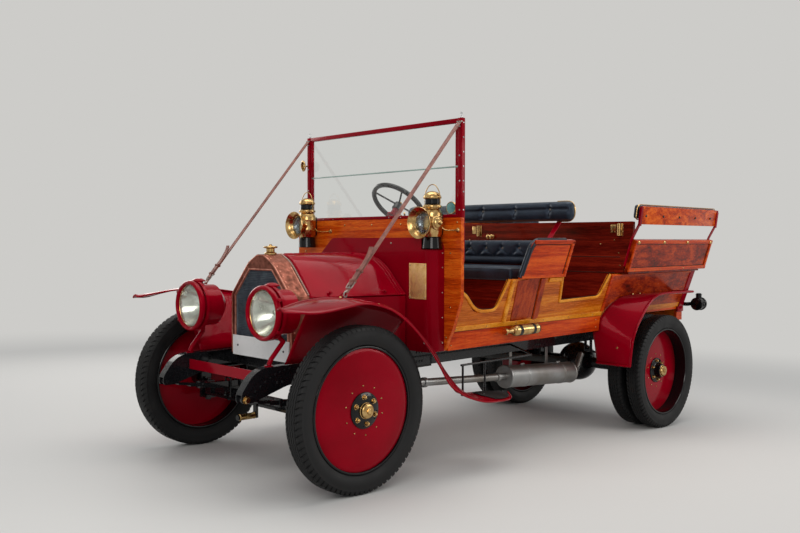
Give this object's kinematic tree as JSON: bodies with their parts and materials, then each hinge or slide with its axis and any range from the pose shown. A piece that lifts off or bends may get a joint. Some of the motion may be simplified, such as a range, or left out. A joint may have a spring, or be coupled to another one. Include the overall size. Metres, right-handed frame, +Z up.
{
  "type": "brass era car",
  "caption": "Open wooden wagonette on a light chassis, with opening bonnet, rear door, steering and turning wheels.",
  "frame": {"origin": "on the ground, in the middle of the car's length and width", "axes": "+X forward, +Y to the car's left, +Z up"},
  "size_m": [4.1045, 1.734, 1.9764],
  "materials": {
    "red_paint": "gloss crimson coach enamel",
    "black_paint": "gloss black enamel",
    "copper": "polished copper",
    "core": "dull blue-grey honeycomb",
    "brass": "polished brass",
    "mahogany": "varnished orange-brown mahogany",
    "ash": "varnished yellow ash",
    "leather": "black buttoned leather",
    "strap_leather": "brown harness leather",
    "tyre": "black rubber with a block tread",
    "glass": "clear flat glass",
    "plate_white": "white enamelled plate, blank",
    "iron": "grey cast iron",
    "exhaust_metal": "dull silver heat paint"
  },
  "bodies": {
    "car": {"arm_panels": "mahogany", "body_sides": "mahogany", "bonnet_sides": "red_paint", "chassis_frame": "black_paint", "cross_boards": "mahogany", "dash_board": "mahogany", "engine_block": "iron", "exhaust": "exhaust_metal", "filler_cap": "brass", "fire_extinguisher": "brass", "floor": "ash", "front_apron": "red_paint", "front_axle": "black_paint", "front_guards": "red_paint", "headlamps": "red_paint", "leaf_springs": "black_paint", "number_plate": "plate_white", "radiator_core": "core", "radiator_shell": "copper", "rear_axle": "black_paint", "rear_guards": "red_paint", "rear_panels": "mahogany", "rear_rails": "mahogany", "screen_straps": "strap_leather", "scuttle": "red_paint", "seat_backs": "leather", "seat_boxes": "mahogany", "seat_cushions": "leather", "seat_irons": "red_paint", "side_lamps": "brass", "sill_boards": "mahogany", "steering_column": "red_paint", "tail_lamp": "black_paint", "transmission": "iron", "windscreen_frame": "red_paint", "windscreen_glass": "glass"},
    "left_knuckle": {"left_knuckle": "black_paint"},
    "right_knuckle": {"right_knuckle": "black_paint"},
    "tie_rod": {"tie_rod": "black_paint"},
    "left_front_wheel": {"left_front_wheel": "red_paint", "left_front_tyre": "tyre"},
    "right_front_wheel": {"right_front_wheel": "red_paint", "right_front_tyre": "tyre"},
    "left_rear_wheel": {"left_rear_wheel": "red_paint", "left_rear_tyres": "tyre"},
    "right_rear_wheel": {"right_rear_wheel": "red_paint", "right_rear_tyres": "tyre"},
    "steering_wheel": {"steering_wheel": "black_paint"},
    "starting_handle": {"starting_handle": "brass"},
    "bonnet_left": {"bonnet_left": "red_paint"},
    "bonnet_right": {"bonnet_right": "red_paint"},
    "rear_door": {"rear_door": "mahogany"}
  },
  "joints": [
    {"name": "left_steer", "type": "hinge", "parent": "car", "child": "left_knuckle", "pos_m": [1.5859, 0.628, 0.372], "axis": [0, 0, 1], "range_deg": [-30, 30]},
    {"name": "right_steer", "type": "hinge", "parent": "car", "child": "right_knuckle", "pos_m": [1.5859, -0.628, 0.372], "axis": [0, 0, 1], "range_deg": [-30, 30]},
    {"name": "tie_rod_pivot", "type": "hinge", "parent": "left_knuckle", "child": "tie_rod", "pos_m": [1.4359, 0.628, 0.29], "axis": [0, 0, 1], "range_deg": [-30, 30]},
    {"name": "left_front_spin", "type": "hinge", "parent": "left_knuckle", "child": "left_front_wheel", "pos_m": [1.5859, 0.717, 0.41], "axis": [0, 1, 0], "continuous": true},
    {"name": "right_front_spin", "type": "hinge", "parent": "right_knuckle", "child": "right_front_wheel", "pos_m": [1.5859, -0.717, 0.41], "axis": [0, 1, 0], "continuous": true},
    {"name": "left_rear_spin", "type": "hinge", "parent": "car", "child": "left_rear_wheel", "pos_m": [-1.3901, 0.64, 0.41], "axis": [0, 1, 0], "continuous": true},
    {"name": "right_rear_spin", "type": "hinge", "parent": "car", "child": "right_rear_wheel", "pos_m": [-1.3901, -0.64, 0.41], "axis": [0, 1, 0], "continuous": true},
    {"name": "steering_turn", "type": "hinge", "parent": "car", "child": "steering_wheel", "pos_m": [0.36579, -0.295, 1.52194], "axis": [-0.649, 0, 0.7607], "range_deg": [-300, 300]},
    {"name": "handle_turn", "type": "hinge", "parent": "car", "child": "starting_handle", "pos_m": [1.58788, 0, 0.45496], "axis": [0.999, 0, -0.0441], "continuous": true},
    {"name": "left_bonnet_hinge", "type": "hinge", "parent": "car", "child": "bonnet_left", "pos_m": [1.31899, 0, 1.16552], "axis": [0.999, 0, -0.0441], "range_deg": [0, 80]},
    {"name": "right_bonnet_hinge", "type": "hinge", "parent": "car", "child": "bonnet_right", "pos_m": [1.31899, 0, 1.16552], "axis": [0.999, 0, -0.0441], "range_deg": [-80, 0]},
    {"name": "rear_door_hinge", "type": "hinge", "parent": "car", "child": "rear_door", "pos_m": [-1.89165, 0.396, 0.98407], "axis": [-0.0441, 0, -0.999], "range_deg": [0, 100]}
  ],
  "couplings": [
    {"joint": "right_steer", "follows": "left_steer", "ratio": 1},
    {"joint": "tie_rod_pivot", "follows": "left_steer", "ratio": -1},
    {"joint": "steering_turn", "follows": "left_steer", "ratio": 10}
  ]
}
